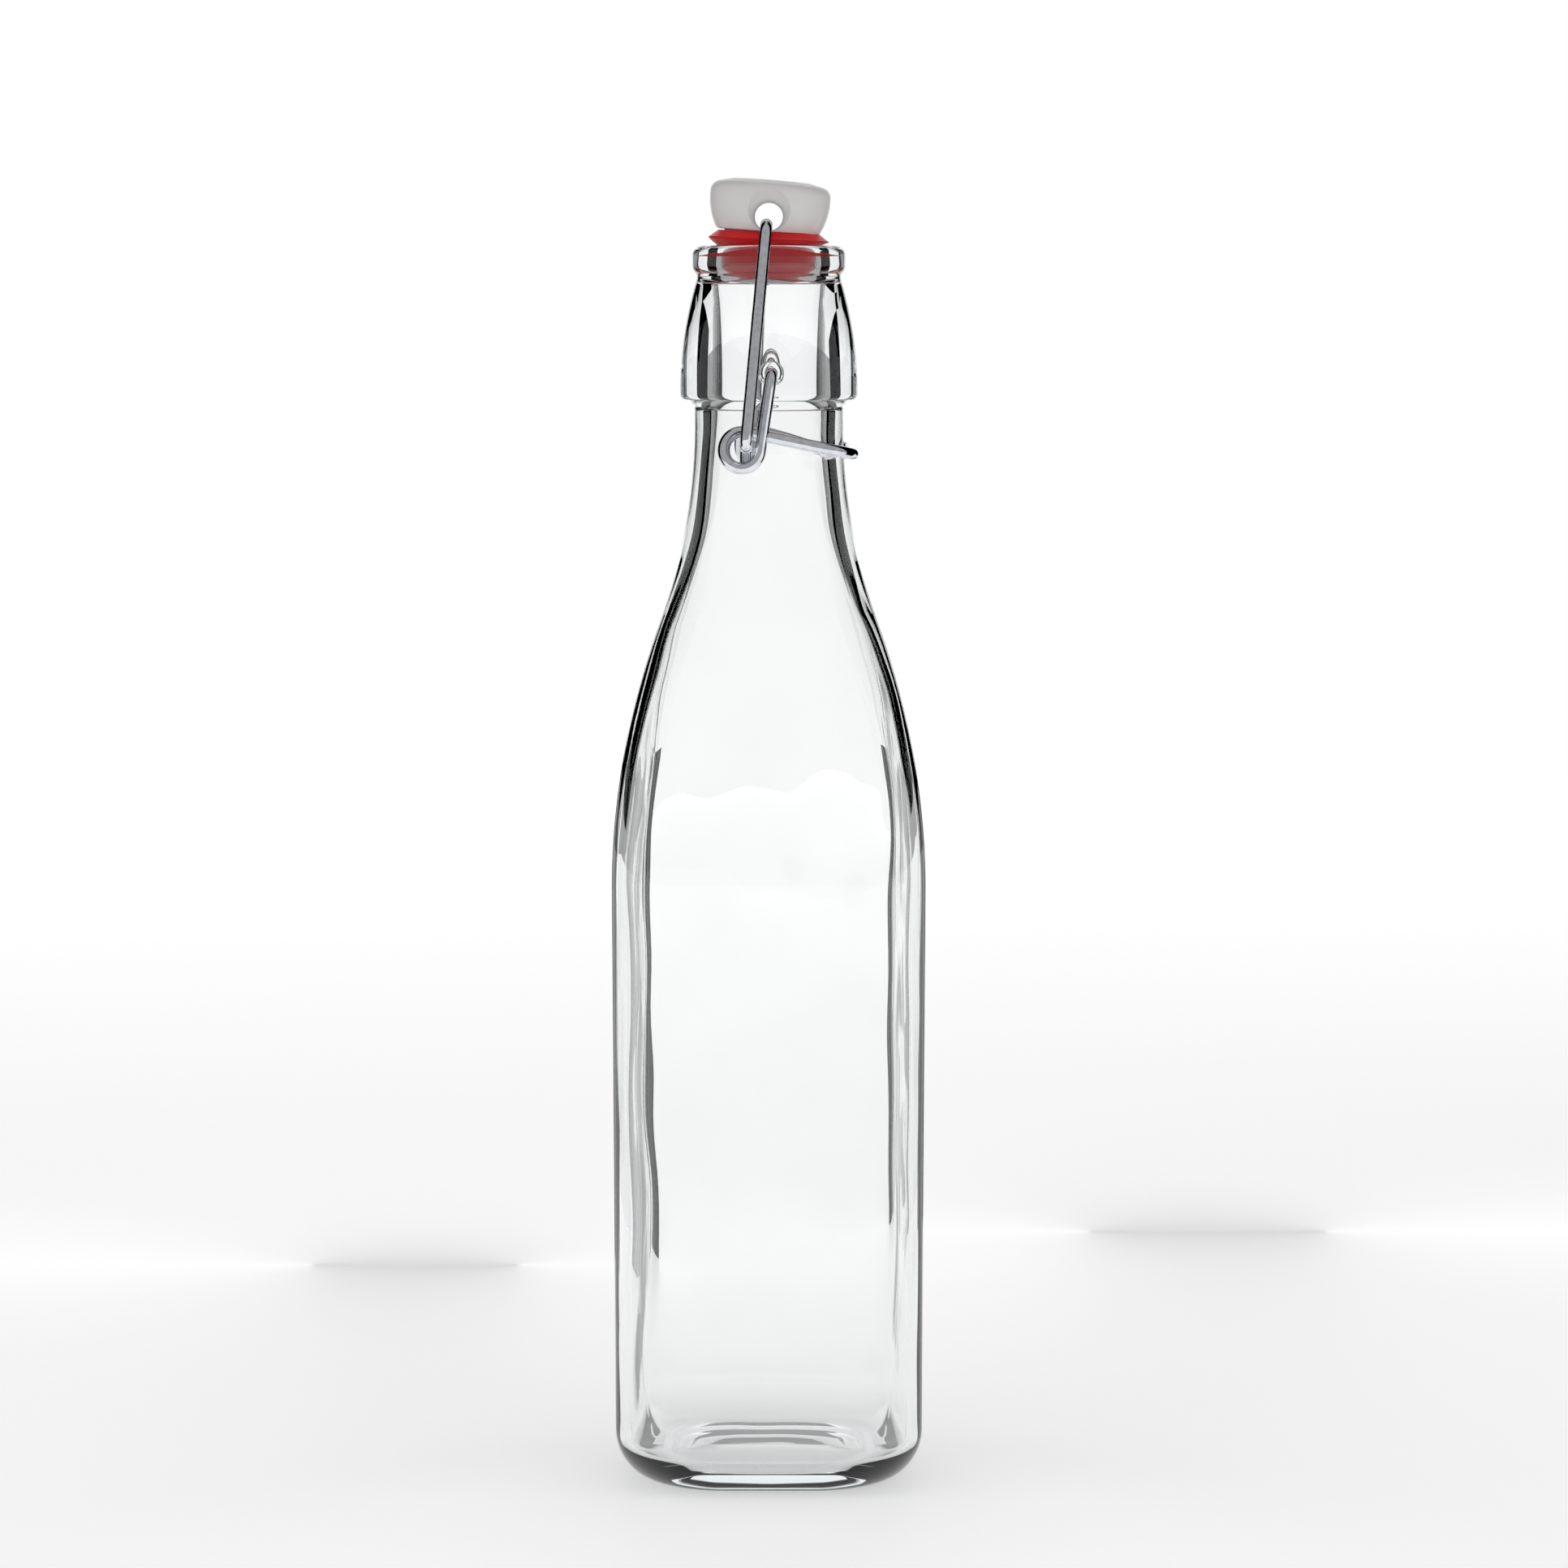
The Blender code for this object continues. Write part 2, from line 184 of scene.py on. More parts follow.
def ring_faces(rings, count, closed_path=False):
    """Quads between neighbouring rings of points, each ring closed on itself."""
    faces = []
    last = rings if closed_path else rings - 1
    for ring in range(last):
        low = ring * count
        high = ((ring + 1) % rings) * count
        for index in range(count):
            after = (index + 1) % count
            faces.append((low + index, low + after, high + after, high + index))
    return faces


def turned_points(profile, count):
    points = []
    for radius, height in profile:
        for index in range(count):
            angle = 2.0 * math.pi * index / count
            points.append((radius * math.cos(angle), radius * math.sin(angle), height))
    return points


def turned_mesh(name, profile, count=TURN_POINTS, closed=False, sharp_deg=35.0):
    """A profile turned about Z: closed on itself like a ring, or capped at both ends."""
    points = turned_points(profile, count)
    faces = ring_faces(len(profile), count, closed)
    if not closed:
        faces.append(tuple(range(count)))
        faces.append(tuple(range(len(points) - count, len(points))))
    return mesh_from(name, points, faces, sharp_deg)


def apply_difference(piece, cutter):
    """Cut one mesh object out of another and remove the cutter."""
    cut = piece.modifiers.new("cut", "BOOLEAN")
    cut.operation = "DIFFERENCE"
    cut.object = cutter
    bpy.context.view_layer.update()
    evaluated = piece.evaluated_get(bpy.context.evaluated_depsgraph_get())
    data = bpy.data.meshes.new_from_object(evaluated)
    piece.modifiers.clear()
    piece.data = data
    bpy.data.objects.remove(cutter)


# ------------------------------------------------------------ materials

def node_material(name):
    material = bpy.data.materials.new(name)
    material.use_nodes = True
    nodes = material.node_tree.nodes
    return material, nodes, material.node_tree.links, nodes["Principled BSDF"]


def texture(nodes, links, kind, scale, stretch=(1.0, 1.0, 1.0), **inputs):
    """A 3-D texture node on object coordinates, finer for a larger scale (per metre)."""
    place = nodes.new("ShaderNodeTexCoord")
    mapping = nodes.new("ShaderNodeMapping")
    mapping.inputs["Scale"].default_value = stretch
    node = nodes.new(kind)
    node.inputs["Scale"].default_value = scale
    for key, value in inputs.items():
        node.inputs[key].default_value = value
    links.new(place.outputs["Object"], mapping.inputs["Vector"])
    links.new(mapping.outputs["Vector"], node.inputs["Vector"])
    return node


def ramp(nodes, links, source, stops):
    node = nodes.new("ShaderNodeValToRGB")
    elements = node.color_ramp.elements
    for index, (place, colour) in enumerate(stops):
        element = elements[index] if index < 2 else elements.new(place)
        element.position = place
        element.color = (*colour, 1.0)
    links.new(source, node.inputs["Fac"])
    return node.outputs["Color"]


def spread(nodes, links, source, low, high):
    node = nodes.new("ShaderNodeMapRange")
    node.inputs["To Min"].default_value = low
    node.inputs["To Max"].default_value = high
    links.new(source, node.inputs["Value"])
    return node.outputs["Result"]


def add_bump(nodes, links, shader, source, strength, distance):
    node = nodes.new("ShaderNodeBump")
    node.inputs["Strength"].default_value = strength
    node.inputs["Distance"].default_value = distance
    links.new(source, node.inputs["Height"])
    links.new(node.outputs["Normal"], shader.inputs["Normal"])
    return node


def glass_material():
    """Clear flint glass with a faint cool tint that shows where it is thick."""
    material, nodes, links, shader = node_material("clear_glass")
    shader.inputs["Roughness"].default_value = 0.0
    shader.inputs["IOR"].default_value = 1.52
    shader.inputs["Transmission Weight"].default_value = 1.0
    haze = texture(nodes, links, "ShaderNodeTexNoise", 60.0, Detail=2.0)
    tint = ramp(nodes, links, haze.outputs["Fac"], [(0.3, (0.985, 0.99, 0.99)), (0.7, (1.0, 1.0, 1.0))])
    links.new(tint, shader.inputs["Base Color"])
    absorb = nodes.new("ShaderNodeVolumeAbsorption")
    absorb.inputs["Color"].default_value = (0.70, 0.82, 0.86, 1.0)
    absorb.inputs["Density"].default_value = 9.0
    links.new(absorb.outputs["Volume"], nodes["Material Output"].inputs["Volume"])
    return material


def steel_material():
    """Zinc-plated drawn wire: dull crystals, fine lines and slightly uneven gloss."""
    material, nodes, links, shader = node_material("galvanised_steel")
    shader.inputs["Metallic"].default_value = 1.0
    spangle = texture(nodes, links, "ShaderNodeTexVoronoi", 900.0)
    cloud = texture(nodes, links, "ShaderNodeTexNoise", 260.0, Detail=4.0)
    grain = texture(nodes, links, "ShaderNodeTexNoise", 2600.0, stretch=(1.0, 1.0, 0.12))
    blend = nodes.new("ShaderNodeMix")
    blend.inputs["Factor"].default_value = 0.6
    links.new(spangle.outputs["Distance"], blend.inputs["A"])
    links.new(cloud.outputs["Fac"], blend.inputs["B"])
    colour = ramp(nodes, links, blend.outputs["Result"],
                  [(0.25, (0.66, 0.69, 0.74)), (0.75, (0.90, 0.92, 0.96))])
    links.new(colour, shader.inputs["Base Color"])
    links.new(spread(nodes, links, cloud.outputs["Fac"], 0.05, 0.10), shader.inputs["Roughness"])
    add_bump(nodes, links, shader, grain.outputs["Fac"], 0.06, 0.00003)
    return material


def rubber_material():
    """Smooth red rubber, a little translucent where it is thin."""
    material, nodes, links, shader = node_material("red_rubber")
    cloud = texture(nodes, links, "ShaderNodeTexNoise", 180.0, Detail=3.0)
    colour = ramp(nodes, links, cloud.outputs["Fac"],
                  [(0.3, (0.66, 0.002, 0.005)), (0.7, (0.76, 0.004, 0.009))])
    links.new(colour, shader.inputs["Base Color"])
    links.new(spread(nodes, links, cloud.outputs["Fac"], 0.28, 0.40), shader.inputs["Roughness"])
    shader.inputs["Specular IOR Level"].default_value = 0.25
    shader.inputs["Subsurface Weight"].default_value = 0.15
    shader.inputs["Subsurface Radius"].default_value = (0.003, 0.0006, 0.0006)
    pores = texture(nodes, links, "ShaderNodeTexNoise", 2200.0, Detail=2.0)
    add_bump(nodes, links, shader, pores.outputs["Fac"], 0.10, 0.00004)
    return material


def plastic_material():
    """White moulded plastic with a soft gloss and a faintly warm, uneven tone."""
    material, nodes, links, shader = node_material("white_plastic")
    cloud = texture(nodes, links, "ShaderNodeTexNoise", 120.0, Detail=4.0)
    colour = ramp(nodes, links, cloud.outputs["Fac"],
                  [(0.3, (0.745, 0.72, 0.72)), (0.7, (0.785, 0.765, 0.76))])
    links.new(colour, shader.inputs["Base Color"])
    links.new(spread(nodes, links, cloud.outputs["Fac"], 0.26, 0.36), shader.inputs["Roughness"])
    shader.inputs["Subsurface Weight"].default_value = 0.10
    shader.inputs["Subsurface Radius"].default_value = (0.002, 0.0016, 0.0014)
    skin = texture(nodes, links, "ShaderNodeTexNoise", 1500.0, Detail=2.0)
    add_bump(nodes, links, shader, skin.outputs["Fac"], 0.12, 0.00004)
    return material


# ------------------------------------------------------------ the bottle

def shoulder_arcs(wall, start_z, convex_r, neck_r, neck_z, steps):
    """A convex arc running into a tangent concave one, whose radius follows."""
    run = neck_r + convex_r - wall
    rise = neck_z - start_z
    concave_r = (convex_r ** 2 - run ** 2 - rise ** 2) / (2.0 * (run - convex_r))
    slope = math.degrees(math.asin(rise / (convex_r + concave_r)))
    convex = arc(wall - convex_r, start_z, convex_r, 0.0, slope, steps)
    concave = arc(neck_r + concave_r, neck_z, concave_r, 180.0 + slope, 180.0, steps)
    return convex + concave[1:]


def outer_profile():
    """Half width and height from the heel up to the top of the lip."""
    points = []
    heel_steps = 24
    for step in range(heel_steps + 1):
        angle = math.radians(90.0 * step / heel_steps)
        points.append((BASE_HALF - HEEL_R + HEEL_R * math.sin(angle),
                       HEEL_H - HEEL_H * math.cos(angle)))
    wall_steps = 36
    for step in range(1, wall_steps):
        share = step / wall_steps
        points.append((BASE_HALF + (BODY_HALF - BASE_HALF) * share ** 1.5,
                       HEEL_H + (SHOULDER_Z - HEEL_H) * share))
    points += shoulder_arcs(BODY_HALF, SHOULDER_Z, SHOULDER_R, NECK_R, NECK_Z, 36)
    points += arc(NECK_R + 3.0, COLLAR_Z - 3.6, 3.0, 180.0, 126.0, 8)
    points += arc(COLLAR_R - 1.6, COLLAR_Z, 1.6, -50.0, 0.0, 8)
    barrel_top = LIP_Z - 6.4
    barrel_steps = 24
    for step in range(1, barrel_steps + 1):
        height = COLLAR_Z + (barrel_top - COLLAR_Z) * step / barrel_steps
        points.append((COLLAR_R - (height - COLLAR_Z) ** 2 / (2.0 * BARREL_R), height))
    points += arc(LIP_R - LIP_UNDER_R, LIP_Z - LIP_UNDER_DROP, LIP_UNDER_R, -52.0, 0.0, 10)
    points += line((LIP_R, LIP_Z - LIP_UNDER_DROP), (LIP_R, LIP_Z - LIP_TOP_R), 3)
    points += arc(LIP_R - LIP_TOP_R, LIP_Z - LIP_TOP_R, LIP_TOP_R, 0.0, 90.0, 14)[1:]
    return points


def inner_profile():
    """Half width and height from the lip down to the edge of the floor."""
    points = arc(BORE_R + 2.2, LIP_Z - 2.3, 2.3, 92.0, 180.0, 12)
    points += line((BORE_R, LIP_Z - 3.0), (BORE_R, LIP_Z - 5.2), 4)
    for step in range(1, 11):
        share = step / 10.0
        points.append((BORE_R + (NECK_IN_R - BORE_R) * smooth_step(share, 0.0, 1.0),
                       LIP_Z - 5.2 - 3.2 * share))
    points += line((NECK_IN_R, LIP_Z - 8.4), (NECK_IN_R, NECK_Z + 1.0), 8)
    shoulder = shoulder_arcs(INNER_HALF, INNER_SHOULDER_Z, INNER_SHOULDER_R,
                             NECK_IN_R, NECK_Z, 30)
    points += reversed(shoulder)
    foot = (INNER_HALF - 0.7, FLOOR_Z + FLOOR_ROUND)
    points += line((INNER_HALF, INNER_SHOULDER_Z), foot, 30)
    points += arc(foot[0] - FLOOR_ROUND, foot[1], FLOOR_ROUND, 0.0, -90.0, 20)[1:]
    return points


def corner_radius(half, height, square_radius):
    """Plan corner radius: the full square below, a circle in the neck and at the heel."""
    up = smooth_step(height, SQUARE_Z, ROUND_Z)
    down = 0.25 * (1.0 - smooth_step(height, 0.0, HEEL_H))
    share = max(up, down)
    return half * share + min(square_radius, half) * (1.0 - share)


def plan_points(half, radius, roundness):
    """One ring of a rounded square as (x, y), by casting rays from its middle."""
    ring = []
    quarter = RING_POINTS // 4
    power = 1.5 - 0.5 * roundness
    for index in range(RING_POINTS):
        side, step = divmod(index, quarter)
        offset = 2.0 * step / quarter - 1.0
        angle = math.copysign(abs(offset) ** power, offset) * math.pi / 4.0
        local = angle + math.pi / 4.0
        cosine, sine = math.cos(local), math.sin(local)
        inset = half - radius
        along = min(half / max(cosine, 1e-9), half / max(sine, 1e-9))
        if along * cosine > inset and along * sine > inset:
            middle = inset * (cosine + sine)
            along = middle + math.sqrt(middle ** 2 - 2.0 * inset ** 2 + radius ** 2)
        turn = side * math.pi / 2.0
        ring.append((along * math.cos(local + turn), along * math.sin(local + turn)))
    return ring


def ring_at(half, height, square_radius):
    radius = corner_radius(half, height, square_radius)
    return [(x, y, height) for x, y in plan_points(half, radius, radius / half)]


def uneven(point):
    """Shift a point of the inner wall in or out, as the blown inside of a bottle is."""
    x, y, z = point
    reach = math.hypot(x, y)
    if reach < 1.0:
        return point
    wave = noise.noise(Vector((x / 26.0, y / 26.0, z / 34.0)))
    wave += 0.4 * noise.noise(Vector((x / 9.0, y / 9.0, z / 14.0)))
    fade = smooth_step(z, FLOOR_Z, 30.0) * (1.0 - smooth_step(z, 205.0, 228.0))
    factor = 1.0 + INNER_WAVE * wave * fade / reach
    return (x * factor, y * factor, z)


def bottle_mesh():
    bearing_outer = BASE_HALF - HEEL_R
    bearing_inner = bearing_outer - BEARING_WIDTH
    under = [(bearing_inner * share, PUNT_H * math.cos(share * math.pi / 2.0) ** 0.8)
             for share in (0.04, 0.12, 0.22, 0.32, 0.42, 0.52, 0.62, 0.72, 0.82, 0.90, 0.96)]
    under += [(bearing_inner, 0.0), (bearing_outer - BEARING_WIDTH * 0.5, 0.0)]
    points = []
    for half, height in under + outer_profile():
        points += ring_at(half, height, CORNER_R)
    inside = inner_profile()
    floor_edge = inside[-1][0]
    inside += [(floor_edge * share, FLOOR_Z + 0.8 * (1.0 - share ** 2))
               for share in (0.9, 0.75, 0.6, 0.45, 0.3, 0.15, 0.04)]
    for half, height in inside:
        points += [uneven(p) for p in ring_at(half, height, INNER_CORNER_R)]
    rings = len(points) // RING_POINTS
    faces = ring_faces(rings, RING_POINTS)
    faces.append(tuple(range(RING_POINTS)))
    faces.append(tuple(range(len(points) - RING_POINTS, len(points))))
    return mesh_from("bottle", points, faces, 50.0)


def dimple_cutter(side):
    """Blind round hole with a rounded floor and a softly flared mouth."""
    surface = COLLAR_R - (LEVER_PIVOT.z - COLLAR_Z) ** 2 / (2.0 * BARREL_R)
    floor = surface - DIMPLE_DEPTH
    profile = [(0.1, floor)] + arc(DIMPLE_R - 1.0, floor + 1.0, 1.0, -88.0, 0.0, 8)
    profile += [(DIMPLE_R, surface - 0.8)]
    profile += [(DIMPLE_R + 0.5 * share ** 2, surface - 0.8 + share) for share in (0.3, 0.6, 0.9, 1.2, 1.5)]
    profile += [(DIMPLE_R + 1.2, surface + 3.0)]
    cutter = bpy.data.objects.new("dimple_cutter", turned_mesh("dimple_cutter", profile, 48))
    bpy.context.scene.collection.objects.link(cutter)
    cutter.rotation_euler = (math.radians(-90.0 * side), 0.0, 0.0)
    cutter.location = Vector((LEVER_PIVOT.x, 0.0, LEVER_PIVOT.z)) * MM
    return cutter


def make_bottle(material):
    bottle = new_piece("bottle", bottle_mesh(), "bottle", "glass_bottle", material)
    for side in (-1.0, 1.0):
        apply_difference(bottle, dimple_cutter(side))
    bottle.data.set_sharp_from_angle(angle=math.radians(50.0))
    return bottle


# ------------------------------------------------------------ stopper and gasket

def stopper_profile():
    flank_r = ((HEAD_WIDEST - HEAD_BOTTOM) ** 2 + (HEAD_R - HEAD_BOTTOM_R) ** 2) \
        / (2.0 * (HEAD_R - HEAD_BOTTOM_R))
    lean = math.degrees(math.asin((HEAD_WIDEST - HEAD_BOTTOM) / flank_r))
    points = [(0.05, HEAD_TOP), (2.5, HEAD_TOP - 0.02), (5.0, HEAD_TOP - 0.08)]
    points += [(7.5, HEAD_TOP - 0.18)]
    points += arc(HEAD_R - 2.2, HEAD_WIDEST + 0.6, 2.2, 84.0, 8.0, 14)
    points += arc(HEAD_R - flank_r, HEAD_WIDEST, flank_r, 0.0, -lean + 1.0, 16)
    points += arc(HEAD_BOTTOM_R - 0.35, HEAD_BOTTOM + 0.3, 0.3, -20.0, -90.0, 4)
    points += [(BOSS_R, HEAD_BOTTOM), (BOSS_R, BOSS_BOTTOM), (STEM_R, BOSS_BOTTOM)]
    points += [(STEM_R, FLANGE_TOP), (FLANGE_R - 0.2, FLANGE_TOP), (FLANGE_R, FLANGE_TOP - 0.2)]
    points += [(FLANGE_R, FLANGE_TOP - 0.6), (FLANGE_R - 0.3, FLANGE_TOP - 0.9)]
    points += [(FLANGE_R - 1.7, FLANGE_BOTTOM + 0.1), (FLANGE_R - 2.0, FLANGE_BOTTOM)]
    points += [(0.05, FLANGE_BOTTOM)]
    return points


def hole_cutter():
    """The bail's hole, flared into a shallow dish where it leaves the head."""
    half = [(HOLE_R, 0.0), (HOLE_R, 9.6), (HOLE_R + 0.12, 9.9), (HOLE_R + 0.4, 10.25)]
    half += [(HOLE_R + 0.9, 10.55), (HOLE_R + 1.5, 10.9), (HOLE_R + 2.3, 11.5), (HOLE_R + 3.4, 13.0)]
    profile = [(r, -y) for r, y in reversed(half)] + half[1:]
    cutter = bpy.data.objects.new("hole_cutter", turned_mesh("hole_cutter", profile, 96))
    bpy.context.scene.collection.objects.link(cutter)
    return cutter


def make_stopper(material):
    piece = new_piece("stopper_body", turned_mesh("stopper_body", stopper_profile()),
                      "stopper", "stopper", material)
    tilt = Matrix.Rotation(math.radians(STOPPER_TILT), 4, "Y")
    middle = SWIVEL + tilt.to_3x3() @ Vector((HOLE_MIDDLE.x, 0.0, 0.0))
    piece.data.transform(Matrix.Translation(middle * MM) @ tilt)
    cutter = hole_cutter()
    cutter.location = (SWIVEL + tilt.to_3x3() @ HOLE_MIDDLE) * MM
    cutter.rotation_euler = (math.radians(90.0), 0.0, 0.0)
    apply_difference(piece, cutter)
    piece.data.set_sharp_from_angle(angle=math.radians(38.0))
    return piece


def gasket_profile():
    """Heights are in the frame. The rim is squeezed flat between head and lip."""
    top = SWIVEL.z + HEAD_BOTTOM - 0.05
    bottom = SWIVEL.z + FLANGE_TOP + 0.05
    seat = LIP_Z + 0.05
    points = [(STEM_R + 0.1, SWIVEL.z + BOSS_BOTTOM - 0.1), (BOSS_R + 0.1, SWIVEL.z + BOSS_BOTTOM - 0.1)]
    points += [(BOSS_R + 0.1, top), (HEAD_BOTTOM_R - 0.1, top)]
    points += line((HEAD_BOTTOM_R - 0.1, top), (GASKET_R - 0.25, top - 1.25), 5)
    points += arc(GASKET_R - 0.2, top - 1.45, 0.2, 45.0, -45.0, 4)
    points += line((GASKET_R - 0.1, top - 1.65), (10.4, seat + 0.1), 4)
    points += line((10.4, seat), (BORE_R + 0.35, LIP_Z - 1.2), 4)
    points += [(BORE_R - 0.1, LIP_Z - 2.2), (BORE_R - 0.15, LIP_Z - 2.8)]
    points += [(BORE_R - 0.5, LIP_Z - 3.4)]
    points += line((BORE_R - 0.5, LIP_Z - 3.4), (BORE_R - 2.8, bottom + 0.3), 4)
    points += [(BORE_R - 3.2, bottom), (STEM_R + 0.1, bottom)]
    return points


def make_gasket(material):
    """The top follows the leaning head, while the seat lies flat on the lip."""
    data = turned_mesh("gasket_ring", gasket_profile(), closed=True, sharp_deg=30.0)
    slope = math.tan(math.radians(GASKET_TILT))
    for vertex in data.vertices:
        share = smooth_step(vertex.co.z / MM, LIP_Z - 0.5, LIP_Z + 1.6)
        vertex.co.z -= vertex.co.x * slope * share
    return new_piece("gasket_ring", data, "stopper", "gasket", material)


# ------------------------------------------------------------ wires

def round_corners(points, radii, degrees_per_step=5.0):
    """Replace each inner corner of a polyline with an arc of the matching radius."""
    path = [points[0]]
    for before, corner, after, radius in zip(points, points[1:], points[2:], radii):
        into = (corner - before).normalized()
        out = (after - corner).normalized()
        turn = into.angle(out)
        if radius <= 0.0 or turn < 0.01:
            path.append(corner)
            continue
        start = corner - into * (radius * math.tan(turn / 2.0))
        inward = (out - into * into.dot(out)).normalized()
        steps = max(2, round(math.degrees(turn) / degrees_per_step))
        for step in range(steps + 1):
            angle = turn * step / steps
            path.append(start + into * (radius * math.sin(angle))
                        + inward * (radius * (1.0 - math.cos(angle))))
    path.append(points[-1])
    return path


def mirrored(half_path):
    other = [Vector((p.x, -p.y, p.z)) for p in reversed(half_path[:-1])]
    return half_path + other


def bail_path():
    """Retaining tip, hook through the eye, leg, and half of the top bar."""
    rise = SWIVEL - HOOK
    along = rise.normalized()

    def on_leg(length, plane):
        return HOOK + along * length + Vector((0.0, -plane, 0.0))

    tip = Vector((HOOK.x, -TIP_PLANE, HOOK.z - TIP_DROP))
    hook = [Vector((HOOK.x, -TIP_PLANE, HOOK.z)), on_leg(0.0, BAIL_PLANE)]
    leg = [on_leg(BAIL_SPLAY_START, BAIL_PLANE), on_leg(rise.length - 3.5, BAIL_TOP_PLANE + 1.0)]
    top = [Vector((SWIVEL.x, -BAIL_TOP_PLANE, SWIVEL.z)),
           Vector((SWIVEL.x, -9.0, SWIVEL.z + BAR_BOW)), Vector((SWIVEL.x, 0.0, SWIVEL.z + BAR_BOW))]
    return round_corners([tip] + hook + leg + top, [1.5, 1.5, 12.0, 2.0, 2.4, 20.0])


def tangent_angle(target, side):
    """Angle on the eye's circle where a line from target touches it."""
    reach = Vector((target.x - EYE.x, target.z - EYE.z))
    return math.atan2(reach.y, reach.x) + side * math.acos(EYE_R / reach.length)


def lever_path():
    """End in the dimple, leg, eye loop, handle arm, and half of the front bar."""
    start = tangent_angle(LEVER_PIVOT, -1.0)
    finish = tangent_angle(FRONT_BAR, 1.0) - 2.0 * math.pi
    if start < finish:
        start += 2.0 * math.pi
    loop = []
    steps = 72
    for step in range(steps + 1):
        share = step / steps
        angle = start + (finish - start) * share
        plane = LEVER_PLANE + (ARM_PLANE - LEVER_PLANE) * smooth_step(share, 0.4, 0.97)
        loop.append(Vector((EYE.x + EYE_R * math.cos(angle), -plane,
                            EYE.z + EYE_R * math.sin(angle))))
    end = [Vector((LEVER_PIVOT.x, -(COLLAR_R - DIMPLE_DEPTH + 0.5), LEVER_PIVOT.z)),
           Vector((LEVER_PIVOT.x, -LEVER_PLANE, LEVER_PIVOT.z)), loop[0]]
    arm = [loop[-1], Vector((FRONT_BAR.x, -ARM_PLANE, FRONT_BAR.z)), FRONT_BAR]
    return round_corners(end, [1.8])[:-1] + loop + round_corners(arm, [6.0])[1:]


def even_path(path, spacing):
    """The same path with points no further apart than spacing."""
    result = [path[0]]
    for start, end in zip(path, path[1:]):
        steps = max(1, math.ceil((end - start).length / spacing))
        result += [start.lerp(end, step / steps) for step in range(1, steps + 1)]
    return result


def wire_mesh(name, path):
    """A round tube swept along the path without twist, with chamfered ends."""
    path = even_path(path, 1.5)
    chamfer = 0.25
    first = (path[1] - path[0]).normalized()
    last = (path[-1] - path[-2]).normalized()
    path = [path[0], path[0] + first * chamfer] + path[1:-1] + [path[-1] - last * chamfer, path[-1]]
    radii = [WIRE_R - chamfer] + [WIRE_R] * (len(path) - 2) + [WIRE_R - chamfer]
    across = first.orthogonal().normalized()
    heading = first
    points = []
    for index, (place, radius) in enumerate(zip(path, radii)):
        ahead = path[min(index + 1, len(path) - 1)] - path[max(index - 1, 0)]
        ahead.normalize()
        across = heading.rotation_difference(ahead) @ across
        across = (across - ahead * across.dot(ahead)).normalized()
        heading = ahead
        other = ahead.cross(across)
        for side in range(WIRE_SIDES):
            angle = 2.0 * math.pi * side / WIRE_SIDES
            points.append(place + across * (radius * math.cos(angle)) + other * (radius * math.sin(angle)))
    faces = ring_faces(len(path), WIRE_SIDES)
    faces.append(tuple(range(WIRE_SIDES)))
    faces.append(tuple(range(len(points) - WIRE_SIDES, len(points))))
    return mesh_from(name, points, faces, 40.0)


def make_wires(material):
    new_piece("bail", wire_mesh("bail", mirrored(bail_path())), "bail", "bail_wire",
              material)
    new_piece("lever", wire_mesh("lever", mirrored(lever_path())), "lever", "lever_wire",
              material)


# ------------------------------------------------------------ stage

CAMERA_HEIGHT = 240.0       # level with the mouth, looking slightly down
CAMERA_PITCH = 5.80
CAMERA_DISTANCE = 1000.0
CAMERA_SIDE = 3.0
LENS = 115.6
CARD_DISTANCE = 1600.0      # backdrop, behind the bottle
CARD_HALF_WIDTH = 850.0
FLAG_SPLIT = 20.0            # height in the camera's axes where the lower flags meet the upper
FLAG_DEG = {"upper": (26.0, 58.0), "lower": (16.0, 27.0)}   # from and to, off the line of sight
FLAG_DISTANCE = {-1.0: 225.0, 1.0: 268.0}
SIDE_FLAG_REACH = 300.0      # dark cards beside the closure, seen only by reflections
SIDE_FLAG_DEPTH = (-50.0, 180.0)
BACKDROP_LIGHT = 1.02
CARD_TALL = 1100.0          # half height of every card
LIGHT_BOUNCES = 40
ROOM_LIGHT = 0.62
MIRRORED_LIGHT = 0.38       # what reflections see of the room in front


def emitter(name, colour, strength):
    material = bpy.data.materials.new(name)
    material.use_nodes = True
    nodes = material.node_tree.nodes
    nodes.clear()
    out = nodes.new("ShaderNodeOutputMaterial")
    light = nodes.new("ShaderNodeEmission")
    light.inputs["Color"].default_value = (*colour, 1.0)
    light.inputs["Strength"].default_value = strength
    material.node_tree.links.new(light.outputs["Emission"], out.inputs["Surface"])
    return material


def card(name, low, high, depth, material, camera, hidden):
    """A flat card facing the camera, placed in the camera's own axes."""
    corners = [(low[0], low[1]), (high[0], low[1]), (high[0], high[1]), (low[0], high[1])]
    return camera_card(name, [(x, y, -depth) for x, y in corners], material, camera, hidden)


def camera_card(name, corners, material, camera, hidden):
    data = bpy.data.meshes.new(name)
    data.from_pydata([tuple(c * MM for c in corner) for corner in corners], [], [(0, 1, 2, 3)])
    data.materials.append(material)
    piece = bpy.data.objects.new(name, data)
    bpy.context.scene.collection.objects.link(piece)
    piece.parent = camera
    piece.visible_camera = not hidden
    return piece


